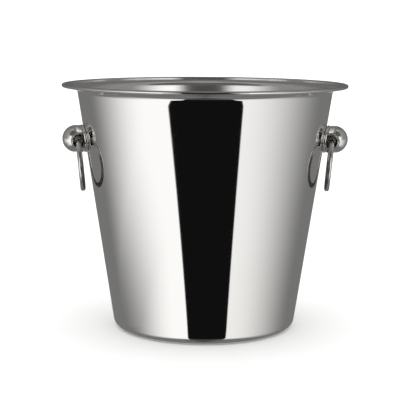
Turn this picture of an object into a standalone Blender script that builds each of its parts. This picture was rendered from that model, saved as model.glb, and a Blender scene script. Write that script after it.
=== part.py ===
"""Champagne bucket: a drawn metal shell with a flared, rolled rim, and on each side a bullet-shaped boss that
carries a hanging ring. Each boss has its own stud, and is fastened through the wall by a cap nut.

Metres, +Z up. The origin is the middle of the base, on the surface that the bucket stands on. The front is -Y.
The left handle is at -X, the right one at +X, and both stand a little forward of the X axis.
"""

import math

import bmesh
import bpy
from mathutils import Vector

# Shell
HEIGHT = 0.1893
RIM_RADIUS = 0.110
WALL_FOOT_RADIUS = 0.0703  # the straight wall, carried on down to the standing surface
WALL_SLOPE = 0.1516  # growth of the radius for each metre of height
SHEET = 0.0010
FOOT_CORNER_RADIUS = 0.0070
STANDING_RING_INNER_RADIUS = 0.0520
PANEL_RADIUS = 0.0490
PANEL_LIFT = 0.0025
PANEL_CORNER_RADIUS = 0.0020
RIM_RISE_ANGLE = math.radians(7.5)
RIM_NECK_RADIUS = 0.0045
BEAD_RADIUS = 0.0013

# Handles
HANDLE_HEIGHT = 0.1481
HANDLE_TURN = math.radians(11)  # of each handle about Z, from the X axis towards the front
BOSS_RADIUS = 0.01035
BOSS_TIP = 0.11035  # from the bucket's axis
BORE_RADIUS = 0.0030  # of each of the two blind holes at its foot, from which it widens as a bell
BELL_RADIUS = 0.0150
BELL_DEPTH = 0.0115
WEB_THICKNESS = 0.0020  # between the feet of the two holes
BORE_OFFSET = 0.0983  # from the bucket's axis
BORE_DROP = 0.0012  # below the boss's own axis
STUD_RADIUS = 0.0025
STUD_LENGTH = 0.0150

# Fasteners, from the outside inwards
TOUCH_GAP = 0.0003
STUD_HOLE_RADIUS = STUD_RADIUS + 0.0005
COLLAR_RADIUS = 0.0107
COLLAR_THICKNESS = 0.0022
COLLAR_EDGE = 0.0006  # the rounding of its two outer edges
SEAL_RADIUS = 0.0080
SEAL_THICKNESS = 0.0009
SADDLE_RADIUS = 0.0078
SADDLE_THICKNESS = 0.0022  # at its middle
LOCK_RADIUS = 0.0046
LOCK_THICKNESS = 0.0010
LOCK_SPLIT = 0.0008
NUT_ACROSS_FLATS = 0.0080
NUT_HEX_HEIGHT = 0.0042
NUT_DOME_RADIUS = 0.0037
NUT_DOME_NECK = 0.0021  # the straight part between the hexagon and the dome
NUT_THREAD_DEPTH = 0.0070

# Rings
WIRE_RADIUS = 0.0020
RING_RADIUS = 0.0184  # to the middle of the wire
RING_OPENING = 0.0036  # between the two ends of the wire
RING_PIVOT_DROP = 0.0004  # of the wire's pivot line below the middle of the holes
RING_SAG = 0.0002  # from the top of the wire's own curve down to the pivot line
RING_LEAN = math.radians(5.2)  # the bottom of the ring towards the wall
# The turn of each ring's plane from the Y axis, its front towards the wall, as it rests in its loose holes.
RING_TWIST = {"left": math.radians(5.4), "right": math.radians(7.4)}

SHELL_STEPS = 64
BOSS_STEPS = 32
EDGE_STEPS = 3
SMALL_STEPS = 24
CUTTER_STEPS = 128
HEX_SIDES = 6
RING_SPANS = 4
SHARP_ANGLE = math.radians(35)
BOOLEAN_MARGIN = 0.002
SIDES = {"left": -1, "right": 1}

SILVER = {"color": (0.80, 0.79, 0.77), "roughness": 0.08, "metallic": 1.0}
SATIN_STEEL = {"color": (0.62, 0.62, 0.61), "roughness": 0.35, "metallic": 1.0}
SEAL_RUBBER = {"color": (0.05, 0.05, 0.05), "roughness": 0.8, "metallic": 0.0}


def wall_radius(z):
    """Radius of the wall's outer face at a height."""
    return WALL_FOOT_RADIUS + WALL_SLOPE * z


def clear_scene():
    for obj in list(bpy.data.objects):
        bpy.data.objects.remove(obj, do_unlink=True)


def give_material(obj, look):
    material = bpy.data.materials.new(obj.name)
    material.use_nodes = True
    shader = material.node_tree.nodes["Principled BSDF"]
    shader.inputs["Base Color"].default_value = (*look["color"], 1.0)
    shader.inputs["Roughness"].default_value = look["roughness"]
    shader.inputs["Metallic"].default_value = look["metallic"]
    obj.data.materials.append(material)


def new_object(name, data):
    obj = bpy.data.objects.new(name, data)
    bpy.context.scene.collection.objects.link(obj)
    return obj


def make_guide(obj):
    """Marks an object as a cutter, which is no part of the bucket."""
    obj.hide_render = True
    obj.display_type = "WIRE"


# ---------------------------------------------------------------- outlines


def arc(center, radius, start, end, steps):
    """Points of an arc in the (radius, height) plane, both ends included."""
    angles = [start + (end - start) * i / steps for i in range(steps + 1)]
    return [center + radius * Vector((math.cos(a), math.sin(a))) for a in angles]


def offset_corners(corners, distance):
    """The same line, moved to its right-hand side. A corner is (point, fillet radius, fillet steps)."""
    moved = []
    for i, (point, radius, steps) in enumerate(corners):
        before = (point - corners[i - 1][0]).normalized() if i > 0 else None
        after = (corners[i + 1][0] - point).normalized() if i + 1 < len(corners) else None
        first = before or after
        last = after or before
        normal = (Vector((first.y, -first.x)) + Vector((last.y, -last.x))).normalized()
        reach = distance / normal.dot(Vector((first.y, -first.x)))
        turn = first.cross(last)
        new_radius = radius + math.copysign(distance, turn) if radius else 0
        moved.append((point + normal * reach, new_radius, steps))
    return moved


def filleted(corners):
    """Points along a line whose corners are rounded."""
    points = []
    for i, (point, radius, steps) in enumerate(corners):
        if not radius:
            points.append(point)
            continue
        back = (corners[i - 1][0] - point).normalized()
        forth = (corners[i + 1][0] - point).normalized()
        half = math.acos(back.dot(forth)) / 2
        center = point + (back + forth).normalized() * radius / math.sin(half)
        start = point + back * radius / math.tan(half) - center
        end = point + forth * radius / math.tan(half) - center
        first = math.atan2(start.y, start.x)
        sweep = math.atan2(start.cross(end), start.dot(end))
        points += arc(center, radius, first, first + sweep, steps)
    return points


def turned(name, points, steps, closed=False):
    """A solid of revolution about Z, from an outline that runs down its outer side."""
    mesh = bpy.data.meshes.new(name)
    edges = [(i, i + 1) for i in range(len(points) - 1)]
    if closed:
        edges.append((len(points) - 1, 0))
    mesh.from_pydata([(p.x, 0, p.y) for p in points], edges, [])
    obj = new_object(name, mesh)
    screw = obj.modifiers.new("Turn", "SCREW")
    screw.steps = steps
    screw.render_steps = steps
    screw.use_merge_vertices = True
    screw.merge_threshold = 0.00001
    screw.use_smooth_shade = True
    return obj


def rod(name, radius, bottom, top, steps):
    """A plain turned rod between two heights on Z."""
    outline = [Vector((0, top)), Vector((radius, top)), Vector((radius, bottom)), Vector((0, bottom))]
    return turned(name, outline, steps)


def tube(name, outer_radius, inner_radius, bottom, top, steps):
    """A plain turned ring between two heights on Z."""
    outline = [
        Vector((outer_radius, top)),
        Vector((outer_radius, bottom)),
        Vector((inner_radius, bottom)),
        Vector((inner_radius, top)),
    ]
    return turned(name, outline, steps, closed=True)


def boolean(obj, other, operation):
    modifier = obj.modifiers.new(operation.title(), "BOOLEAN")
    modifier.operation = operation
    modifier.solver = "EXACT"
    modifier.object = other


def cone_guide(name, offset):
    """A solid as wide as the wall's outer face plus an offset, past both ends of a handle's height."""
    low = HANDLE_HEIGHT - 2 * BOSS_RADIUS
    high = HANDLE_HEIGHT + 2 * BOSS_RADIUS
    outline = [
        Vector((0, high)),
        Vector((wall_radius(high) + offset, high)),
        Vector((wall_radius(low) + offset, low)),
        Vector((0, low)),
    ]
    guide = turned(name, outline, CUTTER_STEPS)
    make_guide(guide)
    return guide


# ---------------------------------------------------------------- shell


def shell_outline():
    """The sheet's section: up its inner face, round the rolled bead and down its outer face."""
    rise = Vector((math.cos(RIM_RISE_ANGLE), math.sin(RIM_RISE_ANGLE)))
    bead = Vector((RIM_RADIUS - BEAD_RADIUS, HEIGHT - BEAD_RADIUS))
    under_bead = bead + BEAD_RADIUS * Vector((rise.y, -rise.x))
    # Where the line under the flange meets the line of the wall's outer face.
    wall_at_bead = wall_radius(under_bead.y)
    along = (under_bead.x - wall_at_bead) / (rise.x - WALL_SLOPE * rise.y)
    neck = under_bead - rise * along
    outer = [
        (under_bead, 0, 0),
        (neck, RIM_NECK_RADIUS, 4),
        (Vector((WALL_FOOT_RADIUS, 0)), FOOT_CORNER_RADIUS, 4),
        (Vector((STANDING_RING_INNER_RADIUS, 0)), PANEL_CORNER_RADIUS, 2),
        (Vector((PANEL_RADIUS, PANEL_LIFT)), PANEL_CORNER_RADIUS, 2),
        (Vector((0, PANEL_LIFT)), 0, 0),
    ]
    inner = offset_corners(outer, SHEET)
    dip = math.asin((BEAD_RADIUS - SHEET) / BEAD_RADIUS)
    bead_start = math.pi + RIM_RISE_ANGLE + dip
    bead_end = RIM_RISE_ANGLE - math.pi / 2
    roll = arc(bead, BEAD_RADIUS, bead_start, bead_end, 8)
    inner_points = filleted(inner)[1:]
    outer_points = filleted(outer)[1:]
    return inner_points[::-1] + roll + outer_points


def make_shell():
    shell = turned("bucket_shell", shell_outline(), SHELL_STEPS)
    for word, side in SIDES.items():
        drill = rod(word + "_stud_hole_guide", STUD_HOLE_RADIUS, PANEL_RADIUS, RIM_RADIUS, SMALL_STEPS)
        aim_outwards(drill, side)
        make_guide(drill)
        boolean(shell, drill, "DIFFERENCE")
    give_material(shell, SILVER)


# ---------------------------------------------------------------- handles


def on_axis(side, distance, rise=0.0):
    """A point at a distance from the bucket's axis, above a handle's own axis by the rise."""
    across = side * distance * math.cos(HANDLE_TURN)
    return (across, -distance * math.sin(HANDLE_TURN), HANDLE_HEIGHT + rise)


def aim_outwards(obj, side, distance=0.0):
    """Turns a piece's own +Z outwards along a handle's axis."""
    obj.rotation_euler = (0, side * math.pi / 2, -side * HANDLE_TURN)
    obj.location = on_axis(side, distance)


def make_boss(name, side, seat):
    """The cast boss: a bullet with a round nose, a base shaped to its seat, a stud and two blind holes."""
    nose = Vector((0, BOSS_TIP - BOSS_RADIUS))
    base = wall_radius(HANDLE_HEIGHT) - 2 * BOOLEAN_MARGIN
    outline = arc(nose, BOSS_RADIUS, math.pi / 2, 0, 8) + [Vector((BOSS_RADIUS, base)), Vector((0, base))]
    boss = turned(name, outline, BOSS_STEPS)
    aim_outwards(boss, side)

    stud_root = wall_radius(HANDLE_HEIGHT) + COLLAR_THICKNESS + 3 * TOUCH_GAP
    stud_end = stud_root - STUD_LENGTH
    stud = rod(name + "_stud_guide", STUD_RADIUS, stud_end, stud_root, SMALL_STEPS)
    aim_outwards(stud, side)
    make_guide(stud)

    bell_turn = math.asin(BELL_DEPTH / BELL_RADIUS)
    web_turn = math.asin(WEB_THICKNESS / 2 / BELL_RADIUS)
    bell = Vector((BORE_RADIUS + BELL_RADIUS, 0))
    flare = arc(bell, BELL_RADIUS, math.pi - bell_turn, math.pi - web_turn, 6)
    hole_outline = [Vector((0, flare[0].y))] + flare + [Vector((0, flare[-1].y))]
    holes = []
    for end, tilt in (("front", math.pi / 2), ("back", -math.pi / 2)):
        hole = turned(name + "_" + end + "_hole_guide", hole_outline, SMALL_STEPS)
        hole.rotation_euler = (tilt, 0, -side * HANDLE_TURN)
        hole.location = on_axis(side, BORE_OFFSET, -BORE_DROP)
        make_guide(hole)
        holes.append(hole)

    boolean(boss, seat, "DIFFERENCE")
    boolean(boss, stud, "UNION")
    for hole in holes:
        boolean(boss, hole, "DIFFERENCE")
    give_material(boss, SILVER)


def make_fitted(name, side, section, look, flat_face=0.0):
    """A ring round a handle's axis that fits the wall. Each point of its section is (radius, offset from the
    wall's outer face, flatness); where the flatness is 1, the point lies on a flat face instead."""
    form = bmesh.new()
    rows = []
    for radius, offset, flatness in section:
        row = []
        for i in range(BOSS_STEPS):
            turn = math.tau * i / BOSS_STEPS
            y = radius * math.cos(turn)
            z = HANDLE_HEIGHT + radius * math.sin(turn)
            bent = math.sqrt((wall_radius(z) + offset) ** 2 - y * y)
            reach = bent + (flat_face - bent) * flatness
            row.append(form.verts.new((side * reach, y, z)))
        rows.append(row)
    for near, far in zip(rows, rows[1:] + rows[:1]):
        for i in range(BOSS_STEPS):
            j = (i + 1) % BOSS_STEPS
            form.faces.new((near[i], near[j], far[j], far[i]))
    bmesh.ops.recalc_face_normals(form, faces=form.faces)
    mesh = bpy.data.meshes.new(name)
    form.to_mesh(mesh)
    form.free()
    mesh.shade_smooth()
    mesh.set_sharp_from_angle(angle=SHARP_ANGLE)
    piece = new_object(name, mesh)
    piece.rotation_euler = (0, 0, -side * HANDLE_TURN)
    give_material(piece, look)


def collar_section():
    """A thick ring whose two outer edges are rounded."""
    inner = TOUCH_GAP
    outer = inner + COLLAR_THICKNESS
    section = [(STUD_HOLE_RADIUS, inner, 0.0)]
    edge = COLLAR_RADIUS - COLLAR_EDGE
    for middle, start in ((inner + COLLAR_EDGE, -math.pi / 2), (outer - COLLAR_EDGE, 0)):
        for point in arc(Vector((edge, middle)), COLLAR_EDGE, start, start + math.pi / 2, EDGE_STEPS):
            section.append((point.x, point.y, 0.0))
    section.append((STUD_HOLE_RADIUS, outer, 0.0))
    return section


def plain_section(radius, inner, outer, inner_flatness=0.0):
    """A washer's section between two faces; the inner face can be flat."""
    return [
        (STUD_HOLE_RADIUS, inner, inner_flatness),
        (radius, inner, inner_flatness),
        (radius, outer, 0.0),
        (STUD_HOLE_RADIUS, outer, 0.0),
    ]


def make_lock_washer(name, side, outer_face):
    """A split spring washer, flattened under the nut."""
    washer = tube(
        name, LOCK_RADIUS, STUD_HOLE_RADIUS, outer_face - LOCK_THICKNESS, outer_face, SMALL_STEPS
    )
    aim_outwards(washer, side)
    mesh = bpy.data.meshes.new(name + "_split_guide")
    form = bmesh.new()
    bmesh.ops.create_cube(form, size=1)
    bmesh.ops.scale(form, vec=(4 * LOCK_THICKNESS, LOCK_SPLIT, LOCK_RADIUS), verts=form.verts)
    form.to_mesh(mesh)
    form.free()
    split = new_object(name + "_split_guide", mesh)
    split.rotation_euler = (0, 0, -side * HANDLE_TURN)
    split.location = on_axis(side, outer_face - LOCK_THICKNESS / 2, LOCK_RADIUS)
    make_guide(split)
    boolean(washer, split, "DIFFERENCE")
    give_material(washer, SATIN_STEEL)


def make_cap_nut(name, side, outer_face):
    """A domed nut: a hexagon and a dome, with a blind hole for the stud."""
    corner_radius = NUT_ACROSS_FLATS / 2 / math.cos(math.pi / HEX_SIDES)
    mesh = bpy.data.meshes.new(name)
    form = bmesh.new()
    bmesh.ops.create_cone(
        form,
        cap_ends=True,
        segments=HEX_SIDES,
        radius1=corner_radius,
        radius2=corner_radius,
        depth=NUT_HEX_HEIGHT,
    )
    form.to_mesh(mesh)
    form.free()
    nut = new_object(name, mesh)
    aim_outwards(nut, side, outer_face - NUT_HEX_HEIGHT / 2)

    dome_root = outer_face - NUT_HEX_HEIGHT + BOOLEAN_MARGIN
    dome_middle = outer_face - NUT_HEX_HEIGHT - NUT_DOME_NECK
    dome_outline = [Vector((0, dome_root)), Vector((NUT_DOME_RADIUS, dome_root))]
    dome_outline += arc(Vector((0, dome_middle)), NUT_DOME_RADIUS, 0, -math.pi / 2, 6)
    dome = turned(name + "_dome_guide", dome_outline, SMALL_STEPS)
    aim_outwards(dome, side)
    make_guide(dome)

    thread_radius = STUD_RADIUS + TOUCH_GAP
    thread_end = outer_face - NUT_THREAD_DEPTH
    thread = rod(
        name + "_thread_guide", thread_radius, thread_end, outer_face + BOOLEAN_MARGIN, SMALL_STEPS
    )
    aim_outwards(thread, side)
    make_guide(thread)

    boolean(nut, dome, "UNION")
    boolean(nut, thread, "DIFFERENCE")
    give_material(nut, SILVER)


def make_ring(name, side, twist):
    """An open ring of round wire, its ends in the boss's two holes. Its origin is on the line it swings about."""
    curve = bpy.data.curves.new(name, "CURVE")
    curve.dimensions = "3D"
    curve.resolution_u = 12
    curve.bevel_depth = WIRE_RADIUS
    curve.bevel_resolution = 2
    curve.use_fill_caps = True
    spline = curve.splines.new("BEZIER")
    spline.bezier_points.add(RING_SPANS)
    middle = Vector((0, 0, RING_SAG - RING_RADIUS))
    end_turn = math.asin(RING_OPENING / 2 / RING_RADIUS)
    span = (math.tau - 2 * end_turn) / RING_SPANS
    handle = 4 / 3 * math.tan(span / 4) * RING_RADIUS
    for i, point in enumerate(spline.bezier_points):
        turn = math.pi / 2 + end_turn + i * span
        along = Vector((0, -math.sin(turn), math.cos(turn)))
        point.co = middle + RING_RADIUS * Vector((0, math.cos(turn), math.sin(turn)))
        point.handle_left = point.co - along * handle
        point.handle_right = point.co + along * handle
    ring = new_object(name, curve)
    ring.location = on_axis(side, BORE_OFFSET, -BORE_DROP - RING_PIVOT_DROP)
    ring.rotation_euler = (0, side * RING_LEAN, -side * twist)
    give_material(ring, SILVER)


def make_handles():
    inner_wall = -SHEET * math.sqrt(1 + WALL_SLOPE**2)
    boss_seat = cone_guide("boss_seat_guide", 2 * TOUCH_GAP + COLLAR_THICKNESS)
    seal_outer = inner_wall - TOUCH_GAP
    seal_inner = seal_outer - SEAL_THICKNESS
    saddle_outer = seal_inner - TOUCH_GAP
    saddle_flat = wall_radius(HANDLE_HEIGHT) + saddle_outer - SADDLE_THICKNESS
    lock_face = saddle_flat - TOUCH_GAP
    nut_face = lock_face - LOCK_THICKNESS - TOUCH_GAP
    seal_section = plain_section(SEAL_RADIUS, seal_inner, seal_outer)
    saddle_section = plain_section(SADDLE_RADIUS, saddle_outer, saddle_outer, inner_flatness=1.0)
    for word, side in SIDES.items():
        make_boss(word + "_boss", side, boss_seat)
        make_fitted(word + "_collar", side, collar_section(), SILVER)
        make_fitted(word + "_seal_washer", side, seal_section, SEAL_RUBBER)
        make_fitted(word + "_saddle_washer", side, saddle_section, SATIN_STEEL, saddle_flat)
        make_lock_washer(word + "_lock_washer", side, lock_face)
        make_cap_nut(word + "_cap_nut", side, nut_face)
        make_ring(word + "_ring", side, RING_TWIST[word])


def main():
    clear_scene()
    make_shell()
    make_handles()


main()
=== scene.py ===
"""The looks of the champagne bucket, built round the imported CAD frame.

Every faceted CAD solid gets a smooth piece in its place: the spun shell with its curled rim, the cast
bosses and their collars, the wire rings, and the washers and cap nuts inside. Metres, +Z up; the front of
the bucket is -Y.
"""

import math

import bmesh
import bpy
from mathutils import Matrix, Vector


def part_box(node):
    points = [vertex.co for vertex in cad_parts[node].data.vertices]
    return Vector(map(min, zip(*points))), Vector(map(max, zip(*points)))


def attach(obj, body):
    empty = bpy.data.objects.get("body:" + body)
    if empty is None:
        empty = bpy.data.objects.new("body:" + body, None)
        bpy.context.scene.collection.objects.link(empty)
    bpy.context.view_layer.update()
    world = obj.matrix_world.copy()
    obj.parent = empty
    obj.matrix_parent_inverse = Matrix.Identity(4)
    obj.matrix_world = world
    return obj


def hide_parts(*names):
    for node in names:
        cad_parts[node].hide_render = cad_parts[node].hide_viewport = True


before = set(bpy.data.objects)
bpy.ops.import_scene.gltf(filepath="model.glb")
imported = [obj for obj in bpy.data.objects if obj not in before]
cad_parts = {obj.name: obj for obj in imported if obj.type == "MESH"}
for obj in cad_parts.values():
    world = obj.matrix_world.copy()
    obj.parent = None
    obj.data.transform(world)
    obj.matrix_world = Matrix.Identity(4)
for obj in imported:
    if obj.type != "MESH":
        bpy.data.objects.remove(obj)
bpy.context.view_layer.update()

MM = 0.001
SIDES = {"left": -1, "right": 1}

# ---------------------------------------------------------------- measures

# The shell
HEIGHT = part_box("bucket_shell")[1].z
RIM_RADIUS = 110 * MM
WALL_FOOT_RADIUS = 70.3 * MM  # the straight wall, carried on down to the standing surface
WALL_SLOPE = 0.1516
SHEET = 1.0 * MM
FOOT_CORNER_RADIUS = 7.0 * MM
STANDING_RING_INNER_RADIUS = 52 * MM
PANEL_RADIUS = 49 * MM
PANEL_LIFT = 2.5 * MM
PANEL_CORNER_RADIUS = 2.0 * MM
RIM_RISE_ANGLE = math.radians(7.5)
RIM_NECK_RADIUS = 4.5 * MM
BEAD_RADIUS = 1.3 * MM
CURL_GAP_WIDTH = 0.25 * MM  # the slit where the curled edge of the sheet comes back to the flange
CURL_GAP_DEPTH = 0.35 * MM

# The handles
HANDLE_HEIGHT = 148.1 * MM
HANDLE_TURN = math.radians(11)  # of each handle about Z, from the X axis towards the front
BOSS_RADIUS = 10.35 * MM
BOSS_TIP = 110.35 * MM
BORE_RADIUS = 3.0 * MM
BELL_RADIUS = 15.0 * MM
BELL_DEPTH = 11.5 * MM
WEB_THICKNESS = 2.0 * MM
BORE_OFFSET = 98.3 * MM
BORE_DROP = 1.2 * MM
STUD_RADIUS = 2.5 * MM
STUD_LENGTH = 15 * MM
STUD_HOLE_RADIUS = 3.0 * MM
TOUCH_GAP = 0.3 * MM
SEAM = 0.1 * MM  # what is left of the gap between the boss, its collar and the wall
COLLAR_RADIUS = 10.6 * MM
COLLAR_THICKNESS = 2.2 * MM
COLLAR_EDGE = 1.0 * MM
SEAL_RADIUS = 8.0 * MM
SEAL_THICKNESS = 0.9 * MM
SEAL_EDGE = 0.45 * MM
SADDLE_RADIUS = 7.8 * MM
SADDLE_THICKNESS = 2.2 * MM
SADDLE_EDGE = 0.5 * MM
LOCK_RADIUS = 4.6 * MM
LOCK_THICKNESS = 1.0 * MM
LOCK_SPLIT = 0.8 * MM
NUT_ACROSS_FLATS = 8.0 * MM
NUT_HEX_HEIGHT = 4.2 * MM
NUT_DOME_RADIUS = 3.7 * MM
NUT_DOME_NECK = 2.1 * MM
NUT_THREAD_DEPTH = 7.0 * MM
WIRE_RADIUS = 2.0 * MM
RING_RADIUS = 18.4 * MM
RING_END_ROUNDING = 0.5 * MM
RING_OPENING = 3.6 * MM  # between the two ends of the wire, inside the boss
RING_PIVOT_DROP = 0.4 * MM
RING_SAG = 0.2 * MM
RING_LEAN = math.radians(5.2)
RING_TWIST = {"left": math.radians(5.4), "right": math.radians(7.4)}

SHELL_STEPS = 240
SMALL_STEPS = 96
BOSS_GRAIN = 0.22 * MM  # between two points of a boss's mesh
LONGEST_ROW = 4 * MM  # between two rows of the shell's mesh


def wall_radius(z):
    """Radius of the wall's outer face at a height."""
    return WALL_FOOT_RADIUS + WALL_SLOPE * z


# ---------------------------------------------------------------- camera

CAMERA_DISTANCE = 0.9458
CAMERA_PITCH = math.radians(8.46)  # looking down
CAMERA_TURN = math.radians(1.5)  # about Z, from the front towards the left handle
CAMERA_ROLL = 0.0058
CAMERA_TARGET = Vector((0, 0, 0.0983))
CAMERA_LENS_MM = 108.85
CAMERA_SHIFT_X = -0.0111


def make_camera():
    data = bpy.data.cameras.new("camera")
    data.lens = CAMERA_LENS_MM
    data.sensor_width = 36
    data.shift_x = CAMERA_SHIFT_X
    data.clip_start = 0.01
    camera = bpy.data.objects.new("camera", data)
    bpy.context.scene.collection.objects.link(camera)
    turn = Matrix.Rotation(-CAMERA_TURN, 4, "Z")
    away = turn @ Vector((0, -math.cos(CAMERA_PITCH), math.sin(CAMERA_PITCH)))
    place = Matrix.Translation(CAMERA_TARGET + away * CAMERA_DISTANCE) @ turn
    tilt = Matrix.Rotation(math.pi / 2 - CAMERA_PITCH, 4, "X")
    roll = Matrix.Rotation(CAMERA_ROLL, 4, "Z")
    camera.matrix_world = place @ tilt @ roll
    bpy.context.scene.camera = camera


make_camera()

# ---------------------------------------------------------------- mesh helpers


def new_object(name, mesh):
    obj = bpy.data.objects.new(name, mesh)
    bpy.context.scene.collection.objects.link(obj)
    return obj


def skin(name, rows, loop=False, sharp_degrees=40):
    """A smooth mesh over rows of points. A row of one point is a pole; loop joins the last row to the first.
    """
    form = bmesh.new()
    rings = [[form.verts.new(point) for point in row] for row in rows]
    pairs = list(zip(rings, rings[1:]))
    if loop:
        pairs.append((rings[-1], rings[0]))
    for low, high in pairs:
        count = max(len(low), len(high))
        for i in range(count):
            j = (i + 1) % count
            corners = [low[i % len(low)], low[j % len(low)], high[j % len(high)], high[i % len(high)]]
            form.faces.new(list(dict.fromkeys(corners)))
    bmesh.ops.recalc_face_normals(form, faces=form.faces)
    mesh = bpy.data.meshes.new(name)
    form.to_mesh(mesh)
    form.free()
    mesh.shade_smooth()
    mesh.set_sharp_from_angle(angle=math.radians(sharp_degrees))
    return new_object(name, mesh)


def turned_rows(outline, steps):
    """Rows of points for an outline of (radius, height) points turned about Z."""
    angles = [math.tau * i / steps for i in range(steps)]
    rows = []
    for radius, height in outline:
        if radius < 1e-7:
            rows.append([(0, 0, height)])
        else:
            rows.append([(radius * math.cos(a), radius * math.sin(a), height) for a in angles])
    return rows


def arc(center, radius, start, end, steps):
    """Points of an arc, both ends included."""
    angles = [start + (end - start) * i / steps for i in range(steps + 1)]
    return [center + radius * Vector((math.cos(a), math.sin(a))) for a in angles]


def offset_corners(corners, distance):
    """The same line, moved to its right-hand side. A corner is (point, fillet radius)."""
    moved = []
    for i, (point, radius) in enumerate(corners):
        before = (point - corners[i - 1][0]).normalized() if i > 0 else None
        after = (corners[i + 1][0] - point).normalized() if i + 1 < len(corners) else None
        first = before or after
        last = after or before
        normal = (Vector((first.y, -first.x)) + Vector((last.y, -last.x))).normalized()
        reach = distance / normal.dot(Vector((first.y, -first.x)))
        new_radius = radius + math.copysign(distance, first.cross(last)) if radius else 0
        moved.append((point + normal * reach, new_radius))
    return moved


def filleted(corners, steps):
    """Points along a line whose corners are rounded."""
    points = []
    for i, (point, radius) in enumerate(corners):
        if not radius:
            points.append(point)
            continue
        back = (corners[i - 1][0] - point).normalized()
        forth = (corners[i + 1][0] - point).normalized()
        half = math.acos(back.dot(forth)) / 2
        center = point + (back + forth).normalized() * radius / math.sin(half)
        start = point + back * radius / math.tan(half) - center
        end = point + forth * radius / math.tan(half) - center
        first = math.atan2(start.y, start.x)
        sweep = math.atan2(start.cross(end), start.dot(end))
        points += arc(center, radius, first, first + sweep, steps)
    return points


def spread(points):
    """The same line with extra points, so that no two are far apart."""
    filled = [points[0]]
    for point in points[1:]:
        start = filled[-1]
        parts = math.ceil((point - start).length / LONGEST_ROW)
        filled += [start.lerp(point, i / parts) for i in range(1, parts + 1)]
    return filled


def apply_modifiers(obj):
    """Puts the result of the object's modifiers into a mesh of its own."""
    depsgraph = bpy.context.evaluated_depsgraph_get()
    mesh = bpy.data.meshes.new_from_object(obj.evaluated_get(depsgraph))
    obj.modifiers.clear()
    obj.data = mesh


def cut(obj, tool, operation):
    """Applies one Boolean and removes its tool."""
    modifier = obj.modifiers.new(operation, "BOOLEAN")
    modifier.operation = operation
    modifier.solver = "EXACT"
    modifier.object = tool
    apply_modifiers(obj)
    bpy.data.objects.remove(tool)


def rod(name, radius, bottom, top):
    outline = [(0, top), (radius, top), (radius, bottom), (0, bottom)]
    return skin(name, turned_rows(outline, SMALL_STEPS))


def handle_turn(side):
    return Matrix.Rotation(-side * HANDLE_TURN, 4, "Z")


def outwards(side):
    """Turns a piece's own +Z outwards along a handle's axis."""
    lift = Matrix.Translation((0, 0, HANDLE_HEIGHT))
    return lift @ handle_turn(side) @ Matrix.Rotation(side * math.pi / 2, 4, "Y")


# ---------------------------------------------------------------- material helpers


class Look:
    """A material's node tree, with short calls for the nodes that the finishes here are made of."""

    def __init__(self, name):
        self.material = bpy.data.materials.new(name)
        self.material.use_nodes = True
        self.tree = self.material.node_tree
        self.shader = self.tree.nodes["Principled BSDF"]
        self.place = self.node("ShaderNodeTexCoord").outputs["Object"]

    def node(self, kind):
        return self.tree.nodes.new(kind)

    def plug(self, value, socket):
        if isinstance(value, bpy.types.NodeSocket):
            self.tree.links.new(value, socket)
        else:
            socket.default_value = value

    def math(self, operation, *values):
        node = self.node("ShaderNodeMath")
        node.operation = operation
        for value, socket in zip(values, node.inputs):
            self.plug(value, socket)
        return node.outputs[0]

    def split(self, vector):
        node = self.node("ShaderNodeSeparateXYZ")
        self.plug(vector, node.inputs[0])
        return node.outputs

    def join(self, x, y, z):
        node = self.node("ShaderNodeCombineXYZ")
        for value, socket in zip((x, y, z), node.inputs):
            self.plug(value, socket)
        return node.outputs[0]

    def noise(self, vector, scale, detail=2.0, roughness=0.5):
        node = self.node("ShaderNodeTexNoise")
        self.plug(vector, node.inputs["Vector"])
        node.inputs["Scale"].default_value = scale
        node.inputs["Detail"].default_value = detail
        node.inputs["Roughness"].default_value = roughness
        return node.outputs["Fac"]

    def fit(self, value, low, high, new_low, new_high):
        """Maps low..high to new_low..new_high, and holds it there."""
        node = self.node("ShaderNodeMapRange")
        node.interpolation_type = "SMOOTHSTEP"
        for number, socket in zip((value, low, high, new_low, new_high), node.inputs):
            self.plug(number, socket)
        return node.outputs[0]

    def blend(self, share, first, second):
        node = self.node("ShaderNodeMix")
        node.data_type = "RGBA"
        self.plug(share, node.inputs[0])
        for color, socket in ((first, node.inputs[6]), (second, node.inputs[7])):
            self.plug((*color, 1) if isinstance(color, tuple) else color, socket)
        return node.outputs[2]

    def bump(self, height, distance):
        """Relief of a height map that runs from 0 to 1, over the distance given in metres."""
        node = self.node("ShaderNodeBump")
        node.inputs["Strength"].default_value = 1
        node.inputs["Distance"].default_value = distance
        self.plug(height, node.inputs["Height"])
        self.plug(node.outputs[0], self.shader.inputs["Normal"])

    def color(self, value):
        self.plug(value, self.shader.inputs["Base Color"])

    def set(self, **values):
        for name, value in values.items():
            self.plug(value, self.shader.inputs[name.replace("_", " ")])

    def turning_lines(self, fineness):
        """Fine lines that run round the Z axis, as a lathe or a polishing wheel leaves them."""
        x, y, z = self.split(self.place)
        radius = self.math("SQRT", self.math("ADD", self.math("MULTIPLY", x, x), self.math("MULTIPLY", y, y)))
        safe = self.math("ADD", radius, 0.1 * MM)
        east = self.math("MULTIPLY", self.math("DIVIDE", x, safe), 3.0)
        north = self.math("MULTIPLY", self.math("DIVIDE", y, safe), 3.0)
        across = self.math("MULTIPLY", self.math("ADD", z, radius), fineness)
        return self.noise(self.join(east, north, across), 1.0, detail=3.0, roughness=0.6)


# ---------------------------------------------------------------- finishes

WARM_SILVER = (0.965, 0.955, 0.935)
WORN_SILVER = (0.935, 0.915, 0.88)
SATIN_SILVER = (0.93, 0.915, 0.885)
# The dark grey of the painted shade on the rings' wire.
PAINTED_SHADE_GREY = (0.12, 0.115, 0.105)


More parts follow.
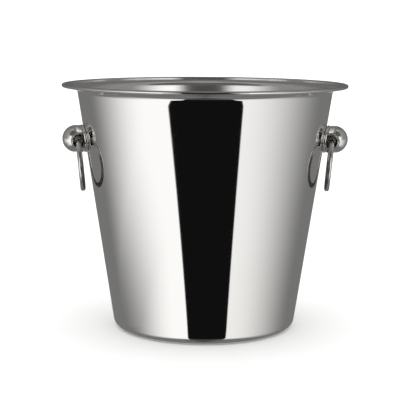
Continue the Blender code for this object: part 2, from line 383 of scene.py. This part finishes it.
def mirror_silver():
    """The outside of the shell: buffed to a mirror, with faint wiping marks and a trace of tarnish."""
    look = Look("mirror_silver")
    lines = look.turning_lines(5200)
    wiping = look.noise(look.place, 26, detail=5, roughness=0.62)
    smears = look.fit(wiping, 0.52, 0.78, 0.0, 1.0)
    clouds = look.noise(look.place, 9, detail=2)
    look.color(look.blend(look.fit(clouds, 0.45, 0.75, 0.0, 0.5), WARM_SILVER, WORN_SILVER))
    fine = look.math("MULTIPLY_ADD", lines, 0.018, 0.026)
    look.set(Metallic=1.0, Roughness=look.math("MULTIPLY_ADD", smears, 0.03, fine))
    look.bump(lines, 0.0004 * MM)
    return look.material


def satin_silver():
    """The inside of the shell: left satin from the spinning lathe, with rings of fine tool marks."""
    look = Look("satin_silver")
    lines = look.turning_lines(3400)
    broad = look.turning_lines(420)
    stains = look.fit(look.noise(look.place, 22, detail=6, roughness=0.65), 0.5, 0.75, 0.0, 1.0)
    look.color(look.blend(look.math("MULTIPLY", stains, 0.6), SATIN_SILVER, (0.86, 0.84, 0.80)))
    rough = look.math("MULTIPLY_ADD", lines, 0.08, 0.15)
    look.set(Metallic=1.0, Roughness=look.math("MULTIPLY_ADD", stains, 0.05, rough))
    look.bump(look.math("MULTIPLY_ADD", broad, 1.5, lines), 0.004 * MM)
    return look.material


def cast_silver():
    """Polished castings: soft orange-peel under the plate, and a little dullness here and there."""
    look = Look("cast_silver")
    peel = look.noise(look.place, 900, detail=2)
    hand = look.noise(look.place, 160, detail=4, roughness=0.6)
    look.color(look.blend(look.fit(hand, 0.45, 0.7, 0.0, 0.7), WARM_SILVER, WORN_SILVER))
    look.set(Metallic=1.0, Roughness=look.fit(hand, 0.3, 0.75, 0.11, 0.19))
    look.bump(peel, 0.006 * MM)
    return look.material


def wire_silver(side):
    """The rings' wire: drawn lines along it, and painted shade on the half towards the wall, deeper lower
    down and darkest at the wire's lowest point.
    """
    look = Look("wire_silver")
    x, y, z = look.split(look.place)
    turn = look.math("ARCTAN2", look.math("ADD", z, RING_RADIUS), y)
    waver = look.noise(look.place, 300)
    along = look.join(look.math("MULTIPLY", turn, 4.0), look.math("MULTIPLY", x, 5200), waver)
    drawn = look.noise(along, 1.0, detail=2)
    grain = look.noise(look.place, 420, detail=4, roughness=0.65)
    # Painted shade: the wire is darkened on its half towards the wall, more so lower down, and most at its
    # lowest point.
    uneven = look.math("MULTIPLY_ADD", grain, 1.6 * MM, look.math("MULTIPLY", x, -side))
    inner = look.fit(uneven, 0.2 * MM, 1.5 * MM, 0.0, 1.0)
    low = look.fit(z, -8 * MM, -15 * MM, 0.0, 1.0)
    lowest = look.fit(z, -34.5 * MM, -38 * MM, 0.0, 0.9)  # painted shade at the wire's lowest point, seen end-on
    deepening = look.math("MULTIPLY_ADD", low, 0.45, 0.5)
    painted_shade = look.math("MAXIMUM", look.math("MULTIPLY", inner, deepening), lowest)
    clean = look.blend(grain, WARM_SILVER, WORN_SILVER)
    look.color(look.blend(painted_shade, clean, PAINTED_SHADE_GREY))
    smooth = look.math("MULTIPLY_ADD", drawn, 0.06, 0.17)
    look.set(Metallic=1.0, Roughness=look.math("MULTIPLY_ADD", painted_shade, 0.15, smooth))
    look.bump(look.math("MULTIPLY_ADD", painted_shade, grain, drawn), 0.004 * MM)
    return look.material


def nut_silver():
    """Bright plate on a turned and milled nut."""
    look = Look("nut_silver")
    tool = look.noise(look.place, 1500, detail=3, roughness=0.6)
    stains = look.fit(look.noise(look.place, 220, detail=4), 0.48, 0.7, 0.0, 1.0)
    look.color(look.blend(stains, (0.90, 0.89, 0.87), (0.78, 0.76, 0.72)))
    look.set(Metallic=1.0, Roughness=look.fit(stains, 0.0, 1.0, 0.10, 0.24))
    look.bump(tool, 0.004 * MM)
    return look.material


def washer_steel():
    """Stamped stainless steel with a brushed face."""
    look = Look("washer_steel")
    x, y, z = look.split(look.place)
    scales = (500, 9000, 600)
    stroke = look.join(*[look.math("MULTIPLY", value, scale) for value, scale in zip((x, y, z), scales)])
    brushed = look.noise(stroke, 1.0, detail=3, roughness=0.6)
    spots = look.fit(look.noise(look.place, 700, detail=4), 0.55, 0.72, 0.0, 0.7)
    steel = look.blend(brushed, (0.55, 0.54, 0.53), (0.70, 0.69, 0.67))
    look.color(look.blend(spots, steel, (0.36, 0.33, 0.29)))
    look.set(Metallic=1.0, Roughness=look.fit(brushed, 0.3, 0.7, 0.24, 0.42))
    look.bump(brushed, 0.006 * MM)
    return look.material


def seal_rubber():
    """Black moulded rubber, greyed a little by dust and water marks."""
    look = Look("seal_rubber")
    grain = look.noise(look.place, 2600, detail=3)
    dust = look.fit(look.noise(look.place, 300, detail=5, roughness=0.65), 0.45, 0.75, 0.0, 1.0)
    look.color(look.blend(dust, (0.018, 0.018, 0.019), (0.075, 0.073, 0.070)))
    look.set(Metallic=0.0, Roughness=look.fit(dust, 0.0, 1.0, 0.62, 0.86))
    look.shader.inputs["Specular IOR Level"].default_value = 0.4
    look.bump(grain, 0.03 * MM)
    return look.material


finish = {
    "mirror": mirror_silver(),
    "satin": satin_silver(),
    "cast": cast_silver(),
    "nut": nut_silver(),
    "steel": washer_steel(),
    "rubber": seal_rubber(),
}


def place_piece(piece, node, body="bucket"):
    """Puts a finished piece in the place of a CAD node."""
    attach(piece, body)
    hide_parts(node)


# ---------------------------------------------------------------- shell


def shell_outline():
    """The sheet's section, up its inner face and down its outer face, and the number of its inner points."""
    rise = Vector((math.cos(RIM_RISE_ANGLE), math.sin(RIM_RISE_ANGLE)))
    down = Vector((rise.y, -rise.x))
    bead = Vector((RIM_RADIUS - BEAD_RADIUS, HEIGHT - BEAD_RADIUS))
    under_bead = bead + BEAD_RADIUS * down
    # Where the line under the flange meets the line of the wall's outer face.
    along = (under_bead.x - wall_radius(under_bead.y)) / (rise.x - WALL_SLOPE * rise.y)
    outer = [
        (under_bead, 0),
        (under_bead - rise * along, RIM_NECK_RADIUS),
        (Vector((WALL_FOOT_RADIUS, 0)), FOOT_CORNER_RADIUS),
        (Vector((STANDING_RING_INNER_RADIUS, 0)), PANEL_CORNER_RADIUS),
        (Vector((PANEL_RADIUS, PANEL_LIFT)), PANEL_CORNER_RADIUS),
        (Vector((0, PANEL_LIFT)), 0),
    ]
    inside = spread(filleted(offset_corners(outer, SHEET), 16)[1:][::-1])
    dip = math.asin((BEAD_RADIUS - SHEET) / BEAD_RADIUS)
    roll = arc(bead, BEAD_RADIUS, math.pi + RIM_RISE_ANGLE + dip, RIM_RISE_ANGLE - math.pi / 2, 28)
    # The slit beside the curl.
    gap = [
        under_bead + CURL_GAP_DEPTH * (-down) - 0.3 * CURL_GAP_WIDTH * rise,
        under_bead + CURL_GAP_DEPTH * (-down) - 0.7 * CURL_GAP_WIDTH * rise,
        under_bead - CURL_GAP_WIDTH * rise,
    ]
    outside = spread([gap[-1]] + filleted(outer, 16)[1:])
    return inside + roll + gap[:-1] + outside, len(inside)


def make_shell():
    outline, inside_count = shell_outline()
    shell = skin("spun_shell", turned_rows(outline, SHELL_STEPS), sharp_degrees=50)
    shell.data.materials.append(finish["mirror"])
    shell.data.materials.append(finish["satin"])
    # Faces come row by row, so the first ones are the inside's.
    inside_faces = (inside_count - 1) * SHELL_STEPS
    for face in shell.data.polygons[:inside_faces]:
        face.material_index = 1
    for side in SIDES.values():
        drill = rod("stud_hole", STUD_HOLE_RADIUS, PANEL_RADIUS, RIM_RADIUS)
        drill.matrix_world = outwards(side)
        cut(shell, drill, "DIFFERENCE")
    place_piece(shell, "bucket_shell")


make_shell()

# ---------------------------------------------------------------- pieces that fit the wall


def fitted_rows(side, section, flat=0.0):
    """Rows round a handle's axis for a section of (radius, offset from the wall's outer face, flatness)."""
    rows = []
    for radius, offset, flatness in section:
        row = []
        for i in range(SMALL_STEPS):
            turn = math.tau * i / SMALL_STEPS
            y = radius * math.cos(turn)
            z = HANDLE_HEIGHT + radius * math.sin(turn)
            bent = math.sqrt((wall_radius(z) + offset) ** 2 - y * y)
            row.append(handle_turn(side) @ Vector((side * (bent + (flat - bent) * flatness), y, z)))
        rows.append(row)
    return rows


def rounded_section(inner, outer, low, high, edge, low_flatness=0.0, high_flatness=0.0):
    """A washer's section whose outer edge is rounded: low and high are its two faces."""
    middle = (low + high) / 2
    half = (high - low) / 2
    section = [(inner, low, low_flatness)]
    steps = 8
    for i in range(steps + 1):
        angle = -math.pi / 2 + math.pi * i / steps
        share = (1 + math.sin(angle)) / 2
        flatness = low_flatness + (high_flatness - low_flatness) * share
        section.append((outer - edge + edge * math.cos(angle), middle + half * math.sin(angle), flatness))
    section.append((inner, high, high_flatness))
    return section


INNER_WALL = -SHEET * math.sqrt(1 + WALL_SLOPE**2)
SEAL_TOP = INNER_WALL - TOUCH_GAP
SADDLE_TOP = SEAL_TOP - SEAL_THICKNESS - TOUCH_GAP
SADDLE_FLAT = wall_radius(HANDLE_HEIGHT) + SADDLE_TOP - SADDLE_THICKNESS
LOCK_FACE = SADDLE_FLAT - TOUCH_GAP
NUT_FACE = LOCK_FACE - LOCK_THICKNESS - TOUCH_GAP


def make_collar(word, side):
    top = TOUCH_GAP + COLLAR_THICKNESS
    section = rounded_section(STUD_HOLE_RADIUS, COLLAR_RADIUS, SEAM, top, COLLAR_EDGE)
    collar = skin(word + "_bent_collar", fitted_rows(side, section), loop=True)
    collar.data.materials.append(finish["cast"])
    place_piece(collar, word + "_collar")


def make_seal(word, side):
    section = rounded_section(STUD_HOLE_RADIUS, SEAL_RADIUS, SEAL_TOP - SEAL_THICKNESS, SEAL_TOP, SEAL_EDGE)
    seal = skin(word + "_rubber_seal", fitted_rows(side, section), loop=True)
    seal.data.materials.append(finish["rubber"])
    place_piece(seal, word + "_seal_washer")


def make_saddle(word, side):
    low = SADDLE_TOP - SADDLE_THICKNESS
    section = rounded_section(
        STUD_HOLE_RADIUS, SADDLE_RADIUS, low, SADDLE_TOP, SADDLE_EDGE, low_flatness=1.0
    )
    saddle = skin(word + "_steel_saddle", fitted_rows(side, section, flat=SADDLE_FLAT), loop=True)
    saddle.data.materials.append(finish["steel"])
    place_piece(saddle, word + "_saddle_washer")


# ---------------------------------------------------------------- lock washer and cap nut


def make_lock(word, side):
    """A split spring washer with a slanting cut, its section a square with broken edges."""
    half = LOCK_THICKNESS / 2
    edge = 0.12 * MM
    middle_radius = (LOCK_RADIUS + STUD_HOLE_RADIUS) / 2
    half_width = (LOCK_RADIUS - STUD_HOLE_RADIUS) / 2
    section = []
    for across, up in ((1, 1), (-1, 1), (-1, -1), (1, -1)):
        corner = [(across * half_width, up * (half - edge)), (across * (half_width - edge), up * half)]
        section += corner if across * up > 0 else corner[::-1]
    slit = LOCK_SPLIT / middle_radius
    steps = 80
    rows = []
    for i in range(steps + 1):
        share = i / steps
        row = []
        for across, up in section:
            slant = 0.5 * slit * up / half * (2 * abs(share - 0.5)) ** 8
            turn = math.pi / 2 + slit / 2 + slant * 0.5 + (math.tau - slit) * share
            radius = middle_radius + across
            row.append((radius * math.cos(turn), radius * math.sin(turn), up))
        rows.append(row)
    form_rows = [[Vector(p) for p in row] for row in rows]
    first = sum(form_rows[0], Vector()) / len(section)
    last = sum(form_rows[-1], Vector()) / len(section)
    lock = skin(word + "_split_washer", [[first]] + form_rows + [[last]], sharp_degrees=30)
    lock.matrix_world = outwards(side) @ Matrix.Translation((0, 0, LOCK_FACE - half))
    lock.data.materials.append(finish["steel"])
    place_piece(lock, word + "_lock_washer")


def make_nut(word, side):
    """A domed nut: chamfered hexagon, neck and dome, with a blind hole."""
    steps = 120
    flat = NUT_ACROSS_FLATS / 2
    chamfer_slope = math.tan(math.radians(30))
    broken = 0.15 * MM
    chamfer_start = flat * 0.97
    dome_middle = -NUT_HEX_HEIGHT - NUT_DOME_NECK
    hole = STUD_RADIUS + TOUCH_GAP
    angles = [math.tau * i / steps for i in range(steps)]

    def ring(radius, height):
        return [(radius * math.cos(a), radius * math.sin(a), height) for a in angles]

    def hexagon(face, inwards):
        """The row where the chamfer under a face meets the six flats."""
        row = []
        for a in angles:
            within = (a % (math.pi / 3)) - math.pi / 6
            radius = flat / math.cos(within)
            height = face + inwards * (radius - chamfer_start) * chamfer_slope
            row.append((radius * math.cos(a), radius * math.sin(a), height))
        return row

    rows = [
        [(0, 0, -NUT_THREAD_DEPTH)],
        ring(hole, -NUT_THREAD_DEPTH),
        ring(hole, -broken),
        ring(hole + broken, 0),
        ring(chamfer_start, 0),
        hexagon(0, -1),
        hexagon(-NUT_HEX_HEIGHT, 1),
        ring(chamfer_start, -NUT_HEX_HEIGHT),
    ]
    for i in range(5):
        angle = math.pi / 2 * i / 4
        radius = NUT_DOME_RADIUS + broken * (1 - math.sin(angle))
        rows.append(ring(radius, -NUT_HEX_HEIGHT - broken * (1 - math.cos(angle))))
    for i in range(12):
        angle = math.pi / 2 * i / 12
        rows.append(ring(NUT_DOME_RADIUS * math.cos(angle), dome_middle - NUT_DOME_RADIUS * math.sin(angle)))
    rows.append([(0, 0, dome_middle - NUT_DOME_RADIUS)])
    nut = skin(word + "_domed_nut", rows, sharp_degrees=28)
    nut.matrix_world = outwards(side) @ Matrix.Translation((0, 0, NUT_FACE))
    nut.data.materials.append(finish["nut"])
    place_piece(nut, word + "_cap_nut")


# ---------------------------------------------------------------- bosses


def make_boss(word, side):
    """The cast bullet with its stud and two blind holes. A fine remesh rounds its edges as polishing does."""
    nose = Vector((0, BOSS_TIP - BOSS_RADIUS))
    base = wall_radius(HANDLE_HEIGHT) - 4 * MM
    outline = [tuple(p) for p in arc(nose, BOSS_RADIUS, math.pi / 2, 0, 32)]
    outline = [(0, BOSS_TIP)] + outline[1:] + [(BOSS_RADIUS, base), (0, base)]
    boss = skin(word + "_cast_boss", turned_rows(outline, 128))
    boss.matrix_world = outwards(side)

    seat = skin(
        "seat",
        turned_rows(
            [
                (0, HANDLE_HEIGHT + 2 * COLLAR_RADIUS),
                (seat_radius(HANDLE_HEIGHT + 2 * COLLAR_RADIUS), HANDLE_HEIGHT + 2 * COLLAR_RADIUS),
                (seat_radius(HANDLE_HEIGHT - 2 * COLLAR_RADIUS), HANDLE_HEIGHT - 2 * COLLAR_RADIUS),
                (0, HANDLE_HEIGHT - 2 * COLLAR_RADIUS),
            ],
            SHELL_STEPS,
        ),
    )
    cut(boss, seat, "DIFFERENCE")
    stud_root = wall_radius(HANDLE_HEIGHT) + COLLAR_THICKNESS + 3 * TOUCH_GAP
    stud = rod("stud", STUD_RADIUS, stud_root - STUD_LENGTH, stud_root)
    stud.matrix_world = outwards(side)
    cut(boss, stud, "UNION")
    bell_turn = math.asin(BELL_DEPTH / BELL_RADIUS)
    web_turn = math.asin(WEB_THICKNESS / 2 / BELL_RADIUS)
    bell = Vector((BORE_RADIUS + BELL_RADIUS, 0))
    flare = [tuple(p) for p in arc(bell, BELL_RADIUS, math.pi - bell_turn, math.pi - web_turn, 32)]
    hole_rows = turned_rows([(0, flare[0][1])] + flare + [(0, flare[-1][1])], SMALL_STEPS)
    middle = Matrix.Translation((0, 0, HANDLE_HEIGHT - BORE_DROP)) @ handle_turn(side)
    for tilt in (math.pi / 2, -math.pi / 2):
        hole = skin("hole", hole_rows)
        place = middle @ Matrix.Translation((side * BORE_OFFSET, 0, 0))
        hole.matrix_world = place @ Matrix.Rotation(tilt, 4, "X")
        cut(boss, hole, "DIFFERENCE")

    remesh = boss.modifiers.new("remesh", "REMESH")
    remesh.mode = "VOXEL"
    remesh.voxel_size = BOSS_GRAIN
    soften = boss.modifiers.new("soften", "SMOOTH")
    soften.factor = 0.5
    soften.iterations = 12
    apply_modifiers(boss)
    boss.data.materials.clear()
    boss.data.materials.append(finish["cast"])
    boss.data.shade_smooth()
    place_piece(boss, word + "_boss")


def seat_radius(z):
    """Radius of the cone that the boss's base is shaped to."""
    return wall_radius(z) + TOUCH_GAP + COLLAR_THICKNESS + SEAM


# ---------------------------------------------------------------- rings


def make_ring(word, side):
    """An open ring of round wire, its ends rounded over inside the boss's two holes."""
    steps = 192
    around = 28
    end_steps = 6
    middle = Vector((0, 0, RING_SAG - RING_RADIUS))
    end_turn = math.asin(RING_OPENING / 2 / RING_RADIUS)
    edge_turn = RING_END_ROUNDING / RING_RADIUS

    def wire_row(turn, radius):
        out = Vector((0, math.cos(turn), math.sin(turn)))
        angles = [math.tau * j / around for j in range(around)]
        return [
            middle + RING_RADIUS * out + radius * (math.cos(a) * out + math.sin(a) * Vector((1, 0, 0)))
            for a in angles
        ]

    rows = []
    for i in range(end_steps):
        share = math.pi / 2 * i / end_steps
        radius = WIRE_RADIUS - RING_END_ROUNDING * (1 - math.sin(share))
        rows.append(wire_row(math.pi / 2 + end_turn + edge_turn * (1 - math.cos(share)), radius))
    start = math.pi / 2 + end_turn + edge_turn
    sweep = math.tau - 2 * (end_turn + edge_turn)
    rows += [wire_row(start + sweep * i / steps, WIRE_RADIUS) for i in range(steps + 1)]
    rows += [[Vector((p.x, -p.y, p.z)) for p in row] for row in rows[end_steps - 1 :: -1]]
    first = sum(rows[0], Vector()) / around
    last = sum(rows[-1], Vector()) / around
    ring = skin(word + "_wire_ring", [[first]] + rows + [[last]])
    pivot = handle_turn(side) @ Vector((side * BORE_OFFSET, 0, HANDLE_HEIGHT - BORE_DROP - RING_PIVOT_DROP))
    lean = Matrix.Rotation(side * RING_LEAN, 4, "Y")
    twist = Matrix.Rotation(-side * RING_TWIST[word], 4, "Z")
    ring.matrix_world = Matrix.Translation(pivot) @ twist @ lean
    ring.data.materials.append(wire_silver(side))
    place_piece(ring, word + "_ring", body=word + "_ring")


for side_word, side_sign in SIDES.items():
    make_collar(side_word, side_sign)
    make_seal(side_word, side_sign)
    make_saddle(side_word, side_sign)
    make_lock(side_word, side_sign)
    make_nut(side_word, side_sign)
    make_boss(side_word, side_sign)
    make_ring(side_word, side_sign)

# ---------------------------------------------------------------- stage


def make_floor():
    """A plain white floor. The silver doesn't mirror it: the room below says what it mirrors."""
    mesh = bpy.data.meshes.new("floor")
    form = bmesh.new()
    bmesh.ops.create_grid(form, x_segments=1, y_segments=1, size=6)
    form.to_mesh(mesh)
    form.free()
    floor = new_object("floor", mesh)
    material = bpy.data.materials.new("floor_paper")
    material.use_nodes = True
    shader = material.node_tree.nodes["Principled BSDF"]
    shader.inputs["Base Color"].default_value = (0.96, 0.96, 0.955, 1)
    shader.inputs["Roughness"].default_value = 0.9
    shader.inputs["Specular IOR Level"].default_value = 0
    mesh.materials.append(material)
    floor.visible_glossy = False


make_floor()

# The room that the silver mirrors. Angles are in degrees: azimuth from the camera's direction, and height
# above the horizon. Brightness 1 is a white panel.
PANELS = {"left": 1.0, "right": 0.88}  # two tall soft panels, one on each side of the camera
PANEL_FADES = {"left": (50, 125), "right": (32, 133)}  # where each begins and ends fading into the wall
WALL = 0.17
BACK_STRIP = 0.60  # a lit strip behind the bucket
BACK_STRIP_EDGE = (164, 172)
GAP_EDGES = {"left": -33.5, "right": 34.9}  # the dark gap between the panels, round the camera
GAP_SLANTS = {"left": 1.12, "right": -0.47}  # how far each edge moves for each degree down
SLANT_TOP = -20.5
SLANT_DEPTH = 11.0
LEFT_LEAN = (4.0, -2.9)  # the left panel's fade: moved by this much, and by this for each degree down
LEFT_LEAN_DEPTH = 6.0
LEFT_LEAN_REACH = 45.0

WINDOWS = {"left": 0.97, "right": 1.15}  # higher up, a window on each side
WINDOW_INNER_EDGES = {"left": (16, 29), "right": (18, 29)}
WINDOW_FADES = {"left": (36, 80), "right": (34, 78)}
UPPER_WALL = 0.22
UPPER_BACK = 0.12
BACK_BEGINS = (105, 150)
DARK = 0.03

CEILING = 0.06
CEILING_SIDE = 0.40  # a paler stretch of ceiling to the left and to the right
CEILING_SIDE_FROM = (64, 76)
CEILING_SIDE_TO = (100, 120)
CEILING_HEIGHTS = (18, 58)  # where the ceiling begins: in front, and at the sides
CEILING_RISE = (60, 76)
CEILING_BLEND = 12
OVERHEAD_GLOW = 0.40
OVERHEAD_FROM = (74, 84)

FLOOR_NEAR = 0.06  # the floor under the camera, shaded by it
FLOOR_SIDE = 0.16
FLOOR_SHADE_EDGE = (10, 50)
FLOOR_FROM = (-38, -54)
HORIZON = (-8, 2)  # where the panels give way to the windows
MIRROR_LEAST = 0.005
PLAIN_LIGHT = 1.35  # what everything but the silver's mirror image sees


class Room:
    """The world's node tree."""

    def __init__(self):
        self.world = bpy.data.worlds.new("studio")
        self.world.use_nodes = True
        self.tree = self.world.node_tree
        self.tree.nodes.clear()

    def math(self, operation, *values, clamp=False):
        node = self.tree.nodes.new("ShaderNodeMath")
        node.operation = operation
        node.use_clamp = clamp
        for value, socket in zip(values, node.inputs):
            if isinstance(value, bpy.types.NodeSocket):
                self.tree.links.new(value, socket)
            else:
                socket.default_value = value
        return node.outputs[0]

    def step(self, value, start, end):
        """0 before start, 1 after end."""
        share = self.math("DIVIDE", self.math("SUBTRACT", value, start), end - start)
        return self.math("MINIMUM", self.math("MAXIMUM", share, 0.0), 1.0)

    def soft_step(self, value, start, end):
        """The same with a soft beginning and end."""
        share = self.step(value, start, end)
        square = self.math("MULTIPLY", share, share)
        return self.math("MULTIPLY", square, self.math("MULTIPLY_ADD", share, -2.0, 3.0))

    def mix(self, share, low, high):
        """low where share is 0, high where it is 1."""
        return self.math("MULTIPLY_ADD", self.math("SUBTRACT", high, low), share, low)


def mirrored_panels(room, azimuth, elevation):
    """The two panels with the dark gap between them, whose edges lie closer together lower down."""
    away = room.math("ABSOLUTE", azimuth)
    right_side = room.step(azimuth, -1, 1)
    below = room.math("MAXIMUM", room.math("SUBTRACT", SLANT_TOP, elevation), 0.0)
    lowness = room.math("MINIMUM", below, SLANT_DEPTH)
    lean_start, lean_growth = LEFT_LEAN
    lean = room.math("MULTIPLY_ADD", room.math("MINIMUM", lowness, LEFT_LEAN_DEPTH), lean_growth, lean_start)
    leftness = room.math("MULTIPLY", azimuth, -1 / LEFT_LEAN_REACH, clamp=True)
    left_away = room.math("SUBTRACT", away, room.math("MULTIPLY", leftness, lean))
    left = room.mix(room.soft_step(left_away, *PANEL_FADES["left"]), PANELS["left"], WALL)
    right = room.mix(room.soft_step(away, *PANEL_FADES["right"]), PANELS["right"], WALL)
    panels = room.mix(room.step(away, *BACK_STRIP_EDGE), room.mix(right_side, left, right), BACK_STRIP)
    left_edge = room.math("MULTIPLY_ADD", lowness, GAP_SLANTS["left"], GAP_EDGES["left"])
    right_edge = room.math("MULTIPLY_ADD", lowness, GAP_SLANTS["right"], GAP_EDGES["right"])
    past_left = room.math("ADD", room.math("SUBTRACT", azimuth, left_edge), 0.5, clamp=True)
    before_right = room.math("ADD", room.math("SUBTRACT", right_edge, azimuth), 0.5, clamp=True)
    return room.mix(room.math("MULTIPLY", past_left, before_right), panels, 0.0)


def mirrored_windows(room, azimuth):
    away = room.math("ABSOLUTE", azimuth)
    sides = []
    for word in ("left", "right"):
        fading = room.mix(room.soft_step(away, *WINDOW_FADES[word]), WINDOWS[word], UPPER_WALL)
        sides.append(room.mix(room.step(away, *WINDOW_INNER_EDGES[word]), DARK, fading))
    both = room.mix(room.step(azimuth, -1, 1), *sides)
    return room.mix(room.step(away, *BACK_BEGINS), both, UPPER_BACK)


def mirrored_ceiling(room, azimuth):
    away = room.math("ABSOLUTE", azimuth)
    side = room.mix(room.step(away, *CEILING_SIDE_TO), CEILING_SIDE, UPPER_BACK)
    return room.mix(room.step(away, *CEILING_SIDE_FROM), CEILING, side)


def make_world():
    """A room as the silver mirrors it, and plain white light for everything else."""
    room = Room()
    bpy.context.scene.world = room.world
    tree = room.tree
    split = tree.nodes.new("ShaderNodeSeparateXYZ")
    tree.links.new(tree.nodes.new("ShaderNodeTexCoord").outputs["Generated"], split.inputs[0])
    x, y, z = split.outputs
    turn = Matrix.Rotation(CAMERA_TURN, 3, "Z")
    right = room.math("MULTIPLY_ADD", x, turn[0][0], room.math("MULTIPLY", y, turn[0][1]))
    front = room.math("MULTIPLY_ADD", x, -turn[1][0], room.math("MULTIPLY", y, -turn[1][1]))
    azimuth = room.math("MULTIPLY", room.math("ARCTAN2", right, front), 180 / math.pi)
    elevation = room.math("MULTIPLY", room.math("ARCSINE", z), 180 / math.pi)
    away = room.math("ABSOLUTE", azimuth)

    floor = room.mix(room.step(away, *FLOOR_SHADE_EDGE), FLOOR_NEAR, FLOOR_SIDE)
    lower = room.mix(room.step(elevation, *FLOOR_FROM), mirrored_panels(room, azimuth, elevation), floor)
    ceiling_height = room.mix(room.step(away, *CEILING_RISE), *CEILING_HEIGHTS)
    above = room.math("SUBTRACT", elevation, ceiling_height)
    ceiling = mirrored_ceiling(room, azimuth)
    upper = room.mix(room.step(above, 0, CEILING_BLEND), mirrored_windows(room, azimuth), ceiling)
    upper = room.mix(room.step(elevation, *OVERHEAD_FROM), upper, OVERHEAD_GLOW)
    whole = room.mix(room.step(elevation, *HORIZON), lower, upper)
    mirrored = room.math("ADD", whole, MIRROR_LEAST)

    glossy = tree.nodes.new("ShaderNodeLightPath").outputs["Is Glossy Ray"]
    background = tree.nodes.new("ShaderNodeBackground")
    background.inputs["Color"].default_value = (1, 1, 1, 1)
    tree.links.new(room.mix(glossy, PLAIN_LIGHT, mirrored), background.inputs["Strength"])
    output = tree.nodes.new("ShaderNodeOutputWorld")
    tree.links.new(background.outputs[0], output.inputs["Surface"])


make_world()
bpy.context.scene.view_settings.view_transform = "Standard"
